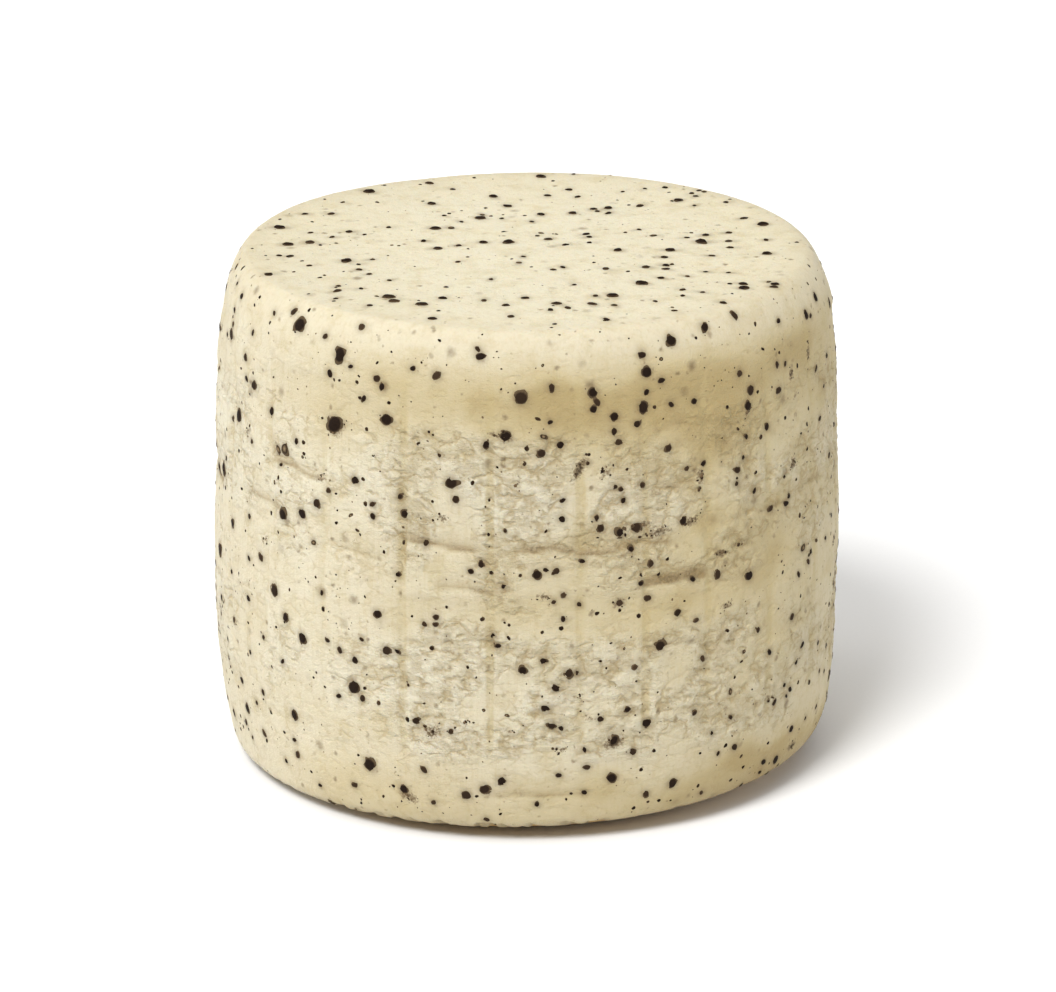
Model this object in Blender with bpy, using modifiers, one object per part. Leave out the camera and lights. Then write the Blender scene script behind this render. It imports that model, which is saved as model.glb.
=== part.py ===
"""A whole wheel of peppered ricotta salata, standing on the flat middle of its underside.

The wheel is one solid: a squat drum with a soft shoulder and a drawn-in foot, whose underside
bows down to the disc that it stands on. Its side carries what its basket mould left there,
which is shallow upright channels, level creases and low lumps. Whole and cracked peppercorns lie
nearly flush in the skin and are fused to it.
Bearings are degrees round the wheel: 0 faces -Y, the shown front, and 90 faces +X.
"""

import math
import random

import bmesh
import bpy
import numpy as np
from mathutils import Matrix, Vector, noise

NAME = "ricotta_salata"
NODE = "cheese"
MM = 0.001
SEED = 20

# The drum above the edge of its foot: its widest line lies a little under half its height
HEIGHT = 140 * MM
RADIUS = 87.5 * MM
WIDEST_Z = 0.4 * HEIGHT
BULGE = 3.5 * MM
SHOULDER_IN = 6 * MM
SHOULDER_DOWN = 17 * MM
WAIST_IN = 4 * MM
WAIST_UP = 37 * MM
FOOT_IN = 2.5 * MM
FOOT_UP = 4 * MM

# The underside: how far its flat middle lies below the edge of the foot, how wide the ring is
# that rises to that edge, how much higher the edge lies on the right, and how far up that shows
UNDER_DROP = 3.9 * MM
UNDER_RING = 16 * MM
EDGE_LEAN = 2.1 * MM
EDGE_LEAN_UP = 24 * MM
UNDERSIDE_SLACK = 0.1 * MM

# How finely the drum is turned before its relief is pressed in, and what is kept of that
TURN_STEPS = 360
LEVEL_STEP = 1.6 * MM
CORNER_STEPS = 10
FLAT_RINGS = 16
UNDER_RINGS = 6
BODY_TRIANGLES = 9100

# Low lumps from pressing and drying: size across, height
LUMPS = ((45 * MM, 0.9 * MM), (18 * MM, 0.35 * MM))
TOP_LUMP_SHARE = 0.6

# Upright channels from the slots of the mould
SLOT_COUNT = 24
SHOWN_SLOTS = (-39.0, -22.5, -6.5, 9.5, 21.5, 34.0)
SLOT_HALF_WIDTH = 1.3 * MM
SLOT_DEPTH = 0.6 * MM
SLOT_LOW = 18 * MM
SLOT_HIGH = 124 * MM
SLOT_FADE = 12 * MM
SLOT_BREAK = 16 * MM

# Level creases: bearing and height at each end, then depth
SHOWN_CREASES = (
    (-40, 78 * MM, -24, 76 * MM, 0.5 * MM),
    (-25, 83 * MM, -6, 80 * MM, 0.7 * MM),
    (-8, 81 * MM, 33, 81 * MM, 0.7 * MM),
    (31, 83 * MM, 76, 84 * MM, 0.5 * MM),
    (-18, 71 * MM, -2, 70 * MM, 0.6 * MM),
    (19, 70 * MM, 36, 70 * MM, 1.0 * MM),
    (21, 95 * MM, 33, 97 * MM, 0.6 * MM),
    (13, 108 * MM, 19, 109 * MM, 0.5 * MM),
    (22, 112 * MM, 32, 113 * MM, 0.5 * MM),
    (24, 52 * MM, 31, 53 * MM, 0.5 * MM),
    (38, 50 * MM, 44, 52 * MM, 0.5 * MM),
    (25, 35 * MM, 36, 46 * MM, 0.6 * MM),
    (11, 45 * MM, 17, 47 * MM, 0.5 * MM),
    (-9, 10 * MM, 14, 11 * MM, 0.6 * MM),
)
HIDDEN_CREASES = 34
HIDDEN_FROM = 74.0
HIDDEN_TO = 318.0
CREASE_LIP = 0.8 * MM
CREASE_SLOPE = 3.5 * MM
CREASE_WAVE = 1.6 * MM

# Peppercorns that the photo shows on the side: bearing, height in mm, size in mm
SIDE_GRAINS = (
    (-36.5, 130, 3.9), (-37, 111, 4.8), (-48, 134.5, 4.0), (-26, 115, 3.3), (-60.5, 113.5, 2.6),
    (-49.5, 100, 2.9), (-40.5, 88, 2.6), (-49.5, 81.5, 3.0), (-44.5, 83.5, 3.0), (-1, 123.7, 3.6),
    (12, 124.5, 2.6), (22.3, 128.5, 3.0), (21.3, 119.3, 3.2), (28, 135.5, 3.0), (45, 118, 2.8),
    (44, 114, 2.5), (15.8, 117.6, 2.4), (-13.3, 100, 3.2), (-3.7, 113.3, 3.0), (19.7, 86.5, 2.8),
    (28.8, 86.6, 2.3), (16.7, 85.7, 2.4), (1.8, 75.3, 2.5), (43.5, 66.5, 2.9), (60, 67.5, 2.4),
    (-51.5, 59, 3.2), (-48.5, 52.6, 2.5), (-44, 48.4, 3.2), (-27, 61, 2.4), (-25.5, 50.7, 2.7),
    (-32.5, 38, 3.8), (-29.8, 16, 3.8), (24.2, 52.4, 2.9), (21.8, 30.5, 2.7), (15.5, 15.4, 2.9),
    (7.4, 47, 2.4), (3.3, 37.2, 2.3), (-0.7, 48.2, 2.3), (-4.5, 15.7, 2.4), (-7.6, 13.2, 2.8),
    (-11, 11, 2.7), (-23, 10.5, 2.6), (27.7, 11, 2.8), (55, 7, 2.7), (-47.7, 24, 2.8),
    (-65, 17.5, 2.8), (66, 131, 2.6), (73, 133, 2.6),
)

# The same on the top: millimetres to the right and to the back, size in mm
TOP_GRAINS = (
    (-45, 56, 3.4), (-69, 19, 3.2), (-66, 3, 3.0), (-49.5, -13.5, 3.3), (-25.5, 18, 2.8),
    (-13, 29, 2.8), (-5, 4.5, 3.2), (-12, 4.5, 2.4), (-24.5, -1, 2.5), (-37, -47, 3.2),
    (-28, -53.5, 3.0), (-22.5, -47.5, 2.4), (4, 72, 3.0), (43, 47, 2.6), (23, 39, 2.4),
    (66, 23, 3.4), (48.5, 5.5, 3.8), (39.5, -3, 2.8), (66, -5.5, 2.7), (25, -4, 2.5),
    (31, -35.5, 3.6), (23, -47, 3.2), (58.5, -39, 2.9), (-27, 43.5, 2.4),
)

# The rest of the larger peppercorns, spread over what the photo doesn't show
HIDDEN_GRAINS = 58
HIDDEN_GRAIN_SIZES = (2.3 * MM, 3.9 * MM)
GRAIN_GAP = 9 * MM
GRAIN_LOWEST = 7 * MM

# A peppercorn's shape, as shares of its size: how far it stands proud, how thick it is, how much
# longer than wide, and how much narrower than a true ball its twenty faces leave it
GRAIN_PROUD = 0.11
GRAIN_THICKNESS = 0.6
GRAIN_STRETCH = (1.0, 1.3)
BALL_SHARE = 0.85

CHEESE_COLOUR = (0.78, 0.67, 0.45, 1.0)
CHEESE_ROUGHNESS = 0.6
PEPPER_COLOUR = (0.024, 0.013, 0.007, 1.0)
PEPPER_ROUGHNESS = 0.75


def clear_scene():
    """Removes what the opened scene holds."""
    for thing in list(bpy.data.objects):
        bpy.data.objects.remove(thing, do_unlink=True)


def new_collection(name):
    """A collection of the scene."""
    collection = bpy.data.collections.new(name)
    bpy.context.scene.collection.children.link(collection)
    return collection


def new_object(name, mesh, collection):
    """An object that holds a mesh, in a collection."""
    thing = bpy.data.objects.new(name, mesh)
    collection.objects.link(thing)
    return thing


def new_material(name, colour, roughness):
    """A Principled material, set on the shader's own sockets."""
    material = bpy.data.materials.new(name)
    material.use_nodes = True
    shader = material.node_tree.nodes["Principled BSDF"]
    shader.inputs["Base Color"].default_value = colour
    shader.inputs["Roughness"].default_value = roughness
    shader.inputs["Metallic"].default_value = 0.0
    return material


def evaluated_mesh(thing):
    """The mesh that an object shows with its modifiers."""
    bpy.context.view_layer.update()
    graph = bpy.context.evaluated_depsgraph_get()
    return bpy.data.meshes.new_from_object(thing.evaluated_get(graph))


def apply_modifiers(thing):
    """Gives an object its evaluated mesh in place of its modifiers."""
    mesh = evaluated_mesh(thing)
    thing.modifiers.clear()
    thing.data = mesh


def quarter(reach, size, depth):
    """How far a rounded edge draws in, reach of the way into an edge of this size and depth."""
    share = min(max(reach / size, 0.0), 1.0)
    return depth * (1.0 - math.sqrt(1.0 - share * share))


def radius_at(z):
    """The drum's radius at a height."""
    bow = BULGE * ((z - WIDEST_Z) / (HEIGHT / 2)) ** 2
    shoulder = quarter(z - (HEIGHT - SHOULDER_DOWN), SHOULDER_DOWN, SHOULDER_IN)
    waist = quarter(WAIST_UP - z, WAIST_UP, WAIST_IN)
    foot = quarter(FOOT_UP - z, FOOT_UP, FOOT_IN)
    return RADIUS - bow - shoulder - waist - foot


def side_levels():
    """Heights down the side: close together round the shoulder and the foot, even between."""
    turns = [math.radians(90.0 * i / CORNER_STEPS) for i in range(CORNER_STEPS + 1)]
    shoulder = [HEIGHT - SHOULDER_DOWN * (1.0 - math.cos(turn)) for turn in turns]
    foot = [FOOT_UP * (1.0 - math.sin(turn)) for turn in turns]
    steps = round((shoulder[-1] - foot[0]) / LEVEL_STEP)
    between = [shoulder[-1] + (foot[0] - shoulder[-1]) * i / steps for i in range(1, steps)]
    return shoulder + between + foot


def drum_profile():
    """Points from the middle of the top, down the outer side, to the middle of the underside."""
    levels = side_levels()
    rim = radius_at(HEIGHT)
    base = radius_at(0.0)
    top = [(rim * i / FLAT_RINGS, HEIGHT) for i in range(FLAT_RINGS)]
    side = [(radius_at(z), z) for z in levels]
    ring = [(base - UNDER_RING * i / UNDER_RINGS, 0.0) for i in range(1, UNDER_RINGS)]
    flat = base - UNDER_RING
    under = [(flat * i / FLAT_RINGS, 0.0) for i in reversed(range(FLAT_RINGS + 1))]
    return top + side + ring + under


def turned_drum(collection):
    """The drum before its relief: its profile with a Screw modifier, applied."""
    points = drum_profile()
    mesh = bpy.data.meshes.new(NODE)
    edges = [(i, i + 1) for i in range(len(points) - 1)]
    mesh.from_pydata([(r, 0.0, z) for r, z in points], edges, [])
    drum = new_object(NODE, mesh, collection)
    screw = drum.modifiers.new("turn", "SCREW")
    screw.steps = TURN_STEPS
    screw.render_steps = TURN_STEPS
    screw.use_merge_vertices = True
    screw.merge_threshold = 0.00001
    apply_modifiers(drum)
    return drum


def ease(start, end, x):
    """0 up to start, 1 from end on, with a smooth S between."""
    t = np.clip((x - start) / (end - start), 0.0, 1.0)
    return t * t * (3.0 - 2.0 * t)


def noise_at(places, seed):
    """Smooth noise of about -1 to 1 at each place, with lumps about 1 across."""
    shift = Vector((31.7 * seed, 12.9 * seed, 7.3 * seed))
    return np.array([noise.noise(Vector(place) + shift) for place in places])


def bearing_off(bearing, middle):
    """How many degrees a bearing lies past a middle, from -180 to 180."""
    return (bearing - middle + 180.0) % 360.0 - 180.0


def slot_bearings():
    """The shown slots, then the others, evenly round the side that the photo doesn't show."""
    last = SHOWN_SLOTS[-1]
    hidden = SLOT_COUNT - len(SHOWN_SLOTS)
    step = (SHOWN_SLOTS[0] + 360.0 - last) / (hidden + 1)
    return list(SHOWN_SLOTS) + [last + step * (i + 1) for i in range(hidden)]


def slot_relief(bearing, z):
    """The upright channels: shallow, and broken where the curd filled the slot."""
    depth = np.zeros(len(z))
    reach = ease(SLOT_LOW, SLOT_LOW + SLOT_FADE, z) * ease(SLOT_HIGH, SLOT_HIGH - SLOT_FADE, z)
    for i, middle in enumerate(slot_bearings()):
        across = np.radians(bearing_off(bearing, middle)) * RADIUS
        near = (np.abs(across) < 3 * SLOT_HALF_WIDTH) & (reach > 0)
        places = [(0.0, 4.0 * i, level / SLOT_BREAK) for level in z[near]]
        if places:
            share = 0.65 + 0.7 * noise_at(places, 1)
            trough = np.exp(-((across[near] / SLOT_HALF_WIDTH) ** 4))
            depth[near] += SLOT_DEPTH * np.clip(share, 0.0, 1.0) * trough * reach[near]
    return -depth


def creases():
    """The shown creases, then as many more as fit on the rest of the side."""
    draw = random.Random(SEED)
    found = list(SHOWN_CREASES)
    for _ in range(HIDDEN_CREASES):
        start = draw.uniform(HIDDEN_FROM, HIDDEN_TO)
        span = draw.uniform(6.0, 22.0)
        low = draw.choice((draw.gauss(0.58 * HEIGHT, 2 * MM), draw.uniform(0.2, 0.82) * HEIGHT))
        rise = draw.uniform(-2.0, 2.0) * MM
        found.append((start, low, start + span, low + rise, draw.uniform(0.4, 0.8) * MM))
    return found


def crease_relief(bearing, z):
    """The creases: the skin sinks slowly from above and steps out again at a lip below."""
    depth = np.zeros(len(z))
    for i, (start, z0, end, z1, deep) in enumerate(creases()):
        half = (end - start) / 2.0
        along = bearing_off(bearing, start + half) / half
        near = np.abs(along) < 1.0
        near &= np.abs(z - (z0 + z1) / 2) < 6 * CREASE_SLOPE
        if not near.any():
            continue
        places = [(x * half / 6.0, 3.0 * i, 0.0) for x in along[near]]
        level = z0 + (z1 - z0) * (along[near] + 1) / 2 + CREASE_WAVE * noise_at(places, 2)
        above = z[near] - level
        fall = np.where(above > 0, np.exp(-above / CREASE_SLOPE), np.exp(above / CREASE_LIP))
        ends = ease(1.0, 0.6, np.abs(along[near]))
        depth[near] = np.maximum(depth[near], deep * fall * ends)
    return -depth


def relief(points):
    """How far the skin stands out at each point of the drum; the underside stays smooth."""
    bearing = np.degrees(np.arctan2(points[:, 0], -points[:, 1]))
    z = points[:, 2]
    side = ease(HEIGHT, HEIGHT - SHOULDER_DOWN, z)
    lumps = np.zeros(len(z))
    for i, (size, height) in enumerate(LUMPS):
        lumps += height * noise_at(points / size, 3 + i)
    lumps *= TOP_LUMP_SHARE + (1.0 - TOP_LUMP_SHARE) * side
    marks = slot_relief(bearing, z) + crease_relief(bearing, z)
    return (lumps + marks * side) * ease(0.0, 2 * FOOT_UP, z)


def underside_shift(points):
    """How far each point of the drum moves up or down to bow its underside and lean its edge."""
    lean = EDGE_LEAN * np.sin(np.arctan2(points[:, 0], -points[:, 1]))
    out = (np.hypot(points[:, 0], points[:, 1]) - (radius_at(0.0) - UNDER_RING)) / UNDER_RING
    bowed = (UNDER_DROP + lean) * np.clip(out, 0.0, 1.0) ** 2 - UNDER_DROP
    leant = lean * ease(EDGE_LEAN_UP, 0.0, points[:, 2])
    return np.where(points[:, 2] > 0.001 * MM, leant, bowed)


def read_points(mesh):
    """The points and the normals of a mesh, one row each."""
    points = np.empty(len(mesh.vertices) * 3)
    normals = np.empty(len(mesh.vertices) * 3)
    mesh.vertices.foreach_get("co", points)
    mesh.vertices.foreach_get("normal", normals)
    return points.reshape(-1, 3), normals.reshape(-1, 3)


def press_relief(drum):
    """Moves the drum's skin by its relief, then keeps only the faces that the shape needs."""
    start, normals = read_points(drum.data)
    points = start + normals * relief(start)[:, None]
    points[:, 2] += underside_shift(start)
    drum.data.vertices.foreach_set("co", points.ravel())
    drum.data.update()
    drum.data.calc_loop_triangles()
    thin = drum.modifiers.new("thin", "DECIMATE")
    thin.ratio = BODY_TRIANGLES / len(drum.data.loop_triangles)
    thin.use_collapse_triangulate = True
    apply_modifiers(drum)


def side_place(bearing, z):
    """The point and outward direction on the drum's side at a bearing and height."""
    turn = math.radians(bearing)
    step = 0.2 * MM
    lean = (radius_at(z - step) - radius_at(z + step)) / (2 * step)
    outward = Vector((math.sin(turn), -math.cos(turn), 0.0))
    point = outward * radius_at(z) + Vector((0.0, 0.0, z))
    return point, (outward + Vector((0.0, 0.0, lean))).normalized()


def shown_grains():
    """Point, outward direction and size of each larger peppercorn in the photo."""
    found = [(*side_place(bearing, z * MM), size * MM) for bearing, z, size in SIDE_GRAINS]
    up = Vector((0.0, 0.0, 1.0))
    found += [(Vector((x * MM, y * MM, HEIGHT)), up, size * MM) for x, y, size in TOP_GRAINS]
    return found


def hidden_grains(taken):
    """The same for the side that the photo doesn't show, clear of those already placed."""
    draw = random.Random(SEED + 1)
    small, large = HIDDEN_GRAIN_SIZES
    found = []
    while len(found) < HIDDEN_GRAINS:
        bearing = draw.uniform(HIDDEN_FROM, 360.0 - 66.0)
        z = draw.uniform(GRAIN_LOWEST, HEIGHT - 4 * MM)
        point, outward = side_place(bearing, z)
        size = small + (large - small) * draw.random() ** 2
        if all((point - other[0]).length > GRAIN_GAP for other in taken + found):
            found.append((point, outward, size))
    return found


def grain_mesh():
    """A ball of twenty faces, 1 across."""
    shape = bmesh.new()
    bmesh.ops.create_icosphere(shape, subdivisions=1, radius=0.5)
    mesh = bpy.data.meshes.new("peppercorn")
    shape.to_mesh(mesh)
    shape.free()
    return mesh


def add_grains(collection, material):
    """One flattened ball for each larger peppercorn, sunk until it stands just proud."""
    grains = shown_grains()
    grains += hidden_grains(grains)
    heights = relief(np.array([list(point) for point, _, _ in grains]))
    ball = grain_mesh()
    ball.materials.append(material)
    draw = random.Random(SEED + 2)
    cut = math.sqrt(1.0 - (1.0 - 2.0 * GRAIN_PROUD / GRAIN_THICKNESS) ** 2)
    for i, (point, outward, size) in enumerate(grains):
        across = size / (cut * BALL_SHARE)
        stretch = draw.uniform(*GRAIN_STRETCH)
        scale = Matrix.Diagonal((across * stretch, across / stretch, GRAIN_THICKNESS * size, 1.0))
        turn = Matrix.Rotation(draw.uniform(0.0, math.tau), 4, "Z")
        stand = outward.to_track_quat("Z", "Y").to_matrix().to_4x4()
        depth = (GRAIN_THICKNESS / 2 - GRAIN_PROUD) * size
        middle = point + outward * (float(heights[i]) - depth)
        grain = new_object(f"peppercorn_{i:03d}", ball, collection)
        grain.matrix_world = Matrix.Translation(middle) @ stand @ turn @ scale


def fuse(drum, helpers):
    """Joins the peppercorns to the drum by one Boolean union and removes them."""
    union = drum.modifiers.new("fuse", "BOOLEAN")
    union.operation = "UNION"
    union.operand_type = "COLLECTION"
    union.collection = helpers
    union.solver = "EXACT"
    union.material_mode = "TRANSFER"
    apply_modifiers(drum)
    for grain in list(helpers.objects):
        bpy.data.objects.remove(grain, do_unlink=True)
    bpy.data.collections.remove(helpers)


def stand_on_origin(drum):
    """Puts the middle of the wheel's box, at its underside, on the origin, and levels that side."""
    points, _ = read_points(drum.data)
    low = points.min(axis=0)
    high = points.max(axis=0)
    points -= np.array([(low[0] + high[0]) / 2, (low[1] + high[1]) / 2, low[2]])
    points[points[:, 2] < UNDERSIDE_SLACK, 2] = 0.0
    drum.data.vertices.foreach_set("co", points.ravel())
    drum.data.update()


def main():
    clear_scene()
    parts = new_collection(NAME)
    helpers = new_collection("peppercorns")
    cheese = new_material("pressed_curd", CHEESE_COLOUR, CHEESE_ROUGHNESS)
    pepper = new_material("black_pepper", PEPPER_COLOUR, PEPPER_ROUGHNESS)
    drum = turned_drum(parts)
    drum.data.materials.append(cheese)
    press_relief(drum)
    add_grains(helpers, pepper)
    fuse(drum, helpers)
    stand_on_origin(drum)


main()
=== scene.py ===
"""Looks of the peppered ricotta salata wheel: its skin, its pepper, the studio and the camera.

Lengths are in metres where no comment says mm. Bearings are degrees round the wheel: 0 faces -Y,
the shown front, and 90 faces +X. A side is two bearings and the degrees that it fades over at each.
The form and the larger peppercorns follow the solid's named values and rules.
"""

import math
import random

import bmesh
import bpy
import numpy as np
from mathutils import Matrix, Vector, noise


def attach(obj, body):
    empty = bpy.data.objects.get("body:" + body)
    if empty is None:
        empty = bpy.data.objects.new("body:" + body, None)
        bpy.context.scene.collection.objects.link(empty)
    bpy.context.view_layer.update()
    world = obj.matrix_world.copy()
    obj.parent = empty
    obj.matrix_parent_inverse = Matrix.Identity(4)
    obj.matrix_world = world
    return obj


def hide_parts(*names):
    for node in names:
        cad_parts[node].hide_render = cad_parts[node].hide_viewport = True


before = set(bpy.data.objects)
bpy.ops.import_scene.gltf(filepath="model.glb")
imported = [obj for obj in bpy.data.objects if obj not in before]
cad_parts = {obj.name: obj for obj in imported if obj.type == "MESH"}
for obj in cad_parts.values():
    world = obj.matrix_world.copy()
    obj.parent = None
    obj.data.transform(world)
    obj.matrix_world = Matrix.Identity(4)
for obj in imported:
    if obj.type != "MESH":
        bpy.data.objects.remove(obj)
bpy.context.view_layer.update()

NODE = "cheese"
BODY = "root"
MM = 0.001
SQUARE_CM = 0.0001
UP = Vector((0.0, 0.0, 1.0))
SEED = 20

# Which noise each rule reads, and which random numbers each kind of thing draws
NOISES = {
    "slots": 1, "creases": 2, "lumps": 3, "skin lumps": 6, "curd patches": 11, "wrinkles": 12,
    "dimples": 13, "crumbs": 14, "chips": 15, "curd wave": 16, "stain wave": 21, "clouds": 22,
    "seams": 31, "weave patches": 41, "weave wave": 42,
}
DRAWS = {
    "creases": 0, "peppercorns": 1, "cracked": 3, "dust": 4, "whole_pepper": 5,
    "cracked_pepper": 6, "pepper_dust": 7, "smear pieces": 8, "smears": 9, "weave": 11,
}

# The drum above its foot's edge, widest a little under half its height
HEIGHT = 140 * MM
RADIUS = 87.5 * MM
WIDEST_Z = 0.4 * HEIGHT
BULGE = 3.5 * MM
SHOULDER_IN = 6 * MM
SHOULDER_DOWN = 17 * MM
WAIST_IN = 4 * MM
WAIST_UP = 37 * MM
FOOT_IN = 2.5 * MM
FOOT_UP = 4 * MM

# The underside: how far its middle lies below the foot's edge, how wide the ring is that rises to
# the edge, how much higher the edge lies on the right, and how far up that shows
UNDER_DROP = 3.9 * MM
UNDER_RING = 16 * MM
EDGE_LEAN = 2.1 * MM
EDGE_LEAN_UP = 24 * MM

# The skin's mesh: columns, the distance between rings, the rings of the underside, crowded towards
# its edge, and the steps that the side's curve is measured in
COLUMNS = 528
SIDE_STEP = 1.04 * MM
FLAT_STEP = 3.2 * MM
UNDER_RINGS = 8
UNDER_CROWDING = 1.3
FLAT_RINGS = 3
CURVE_STEPS = 4000

# Low lumps from pressing and drying: size across, height, and the share of them on the top
LUMPS = ((45 * MM, 0.9 * MM), (18 * MM, 0.35 * MM))
SKIN_LUMPS = (8 * MM, 0.2 * MM)
TOP_LUMP_SHARE = 0.6

# Upright channels from the slots of the mould, and how open the curd left them
SLOT_COUNT = 24
SHOWN_SLOTS = (-39.0, -22.5, -6.5, 9.5, 21.5, 34.0)
SLOT_HALF_WIDTH = 1.3 * MM
SLOT_DEPTH = 0.6 * MM
SLOT_BAND = (18 * MM, 124 * MM)
SLOT_FADE = 12 * MM
SLOT_BREAK = 16 * MM
SLOT_OPEN = 0.65
SLOT_VARY = 0.7

# Yellow stripes along the channels, fainter on one side
STRIPE_BAND = (18 * MM, 134 * MM)
FAINT_STRIPES = (-95.0, -28.0, 8.0)
FAINTER = 0.6

# Blocks that the mould's weave pressed between the channels: how tall they are, how far each one
# stands out or in, how sharp their edges are, and where they fade and waver
WEAVE_TALL = 13 * MM
WEAVE_ROWS = 16
WEAVE_STEP = 0.32 * MM
WEAVE_EDGE = 0.07
WEAVE_BAND = (18 * MM, 134 * MM)
WEAVE_FADE = 8 * MM
WEAVE_WAVE = (7 * MM, 1.2 * MM)
WEAVE_PATCH = 24 * MM
WEAVE_PATCH_LEVEL = 0.25

# Level creases: bearing and height at each end, then depth, in mm. Each has a lip below and a
# slope above, wavers over a run of some degrees, and tapers past a share of its half length
SHOWN_CREASES = (
    (-40, 78, -24, 76, 0.5), (-25, 83, -6, 80, 0.7), (-8, 81, 33, 81, 0.7), (31, 83, 76, 84, 0.5),
    (-18, 71, -2, 70, 0.6), (19, 70, 36, 70, 1.0), (21, 95, 33, 97, 0.6), (13, 108, 19, 109, 0.5),
    (22, 112, 32, 113, 0.5), (24, 52, 31, 53, 0.5), (38, 50, 44, 52, 0.5), (25, 35, 36, 46, 0.6),
    (11, 45, 17, 47, 0.5), (-9, 10, 14, 11, 0.6),
)
CREASE_LIP = 0.8 * MM
CREASE_SLOPE = 3.5 * MM
CREASE_WAVE = 1.6 * MM
CREASE_RUN = 6.0
CREASE_TAPER = 0.6

# The bearing where the unseen part of the side begins, and where its creases and pepper end
HIDDEN_FROM = 74.0
HIDDEN_TO = 318.0
HIDDEN_PEPPER_TO = 294.0

# Creases there: degrees across, slants and depths in mm, and heights as shares of the wheel's,
# about half of them near one line
HIDDEN_CREASES = 34
CREASE_SPANS = (6.0, 22.0)
CREASE_SLANTS = (-2.0, 2.0)
CREASE_DEPTHS = (0.4, 0.8)
CREASE_HEIGHTS = (0.2, 0.82)
CREASE_LINE = 0.58
CREASE_LINE_SPREAD = 2 * MM

# Rough curd between the channels: the heights of its two bands, how they fade and waver, its
# patches, and two smoother sides with the share that each takes away
CURD_BANDS = ((62 * MM, 119 * MM), (16 * MM, 62 * MM))
CURD_FADE = 10 * MM
CURD_WAVE = (25 * MM, 9 * MM)
CURD_PATCH = 17 * MM
CURD_PATCH_LEVELS = (-0.6, 0.15)
SMOOTH_SIDES = (((-95.0, -24.0, 8.0), 0.6), ((44.0, 105.0, 16.0), 0.4))

# What roughens it: how long and how tall each kind of mark is, and its height or depth. Plates
# are flat lumps of curd with sunken seams between them
PLATES = (9 * MM, 5.5 * MM, 0.5 * MM)
WRINKLES = (5.4 * MM, 2.8 * MM, 0.45 * MM)
DIMPLES = (3.4 * MM, 2.4 * MM, 0.45 * MM)
CRUMBS = (2.1 * MM, 1.8 * MM, 0.2 * MM)

# Seams: how wide they are, how often and how far they bend. Then where in their noise seams open,
# wrinkles fold and dimples sink, and how much one kind of mark shifts another
SEAM_SHARE = 0.32
SEAM_BENDS = 2.0
SEAM_BEND = 0.3
SEAM_LEVELS = (-0.25, 0.2)
FOLD_LEVEL = 0.34
DIMPLE_LEVELS = (0.1, 0.45)
DIMPLES_IN_FOLDS = 0.35
CRUMBS_IN_DIMPLES = 0.25
CRUMBS_ELSEWHERE = 0.25

# The crumbled edge of the foot: how large its chips are, how far they raise it and reach, and the
# side where most of them lie
CHIP_SIZE = 2.4 * MM
CHIP_TALL = 4 * CHIP_SIZE
CHIP_LEVEL = 0.35
CHIP_RISE = 1.8 * MM
CHIP_REACH = 3 * MM
CHIPPED_SIDE = (-34.0, 14.0, 16.0)
CHIPS_ELSEWHERE = 0.3

# Whey stain mixed with painted shade, which wavers. Its band under the shoulder, partly stain and partly
# painted shade that is strongest towards the shaded right: between which heights it lies, how far it
# fades at both, where it is strongest, how many degrees it reaches, and where it is deepest
STAIN_WAVE = (22 * MM, 9 * MM)
BAND_LOW, BAND_HIGH = 98 * MM, 138 * MM
BAND_FADES = (25 * MM, 9 * MM)
BAND_MIDDLE = 36.0
BAND_REACH = 85.0
BAND_CORE = 0.4 * BAND_REACH
BAND_ELSEWHERE = 0.35
DEEPEST_SIDE = (26.0, 44.0, 14.0)

# Then clouds, the foot, a patch at mid-height, the shaded right side, painted yellower and darker as
# painted shade, where the band starts lower, the share of each, the lit side, painted almost free of
# it as painted light, and the most of it in all
CLOUD_SIZE = 16 * MM
CLOUD_LEVEL = 0.45
FOOT_STAIN = (24 * MM, 8 * MM)
MID_STAIN = (46 * MM, 92 * MM)
MID_FADES = (20 * MM, 12 * MM)
MID_SIDE = (-12.0, 58.0, 15.0)
SHADED_RIGHT_SIDE = (20.0, 150.0, 60.0)
SHADED_SIDE_LOWER = 9 * MM
STAIN_SHARES = {"deepest": 0.3, "clouds": 0.3, "foot": 0.62, "middle": 0.45, "shaded_side": 0.52}
LIT_PALER_SIDE = (-115.0, -46.0, 20.0)
LIT_PALER_SHARE = 0.95
STAIN_MOST = 1.3

# Yellow towards the rim of the top, but not in front, and where the top's cream becomes the side's.
# The top's cream is paler than the side's, partly its own curd and partly painted light, and its
# outer ring takes the side's cream as painted shade on the bright rim
RIM_TINT = 0.16
RIM_TINTED = (35 * MM, 75 * MM)
UNTINTED_SIDE = (-50.0, 50.0, 60.0)
OUTER = (0.78 * RADIUS, 0.91 * RADIUS)

# Painted shade: brown just over the edge of the foot, all round and higher up on the right, then a
# brown ring on the underside just inside the edge, which browns the shade in the gap under the edge
FOOT_LINE = 2 * MM
FOOT_SHADE = 9 * MM
FOOT_SHADE_SIDE = (35.0, 125.0, 50.0)
FOOT_LINE_SHARE = 0.6
UNDER_BROWN_UP = 0.8 * MM
UNDER_BROWN_STARTS = (1.5 * MM, 3 * MM)
UNDER_BROWN_ENDS = (UNDER_RING, 0.6 * UNDER_RING)

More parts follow.
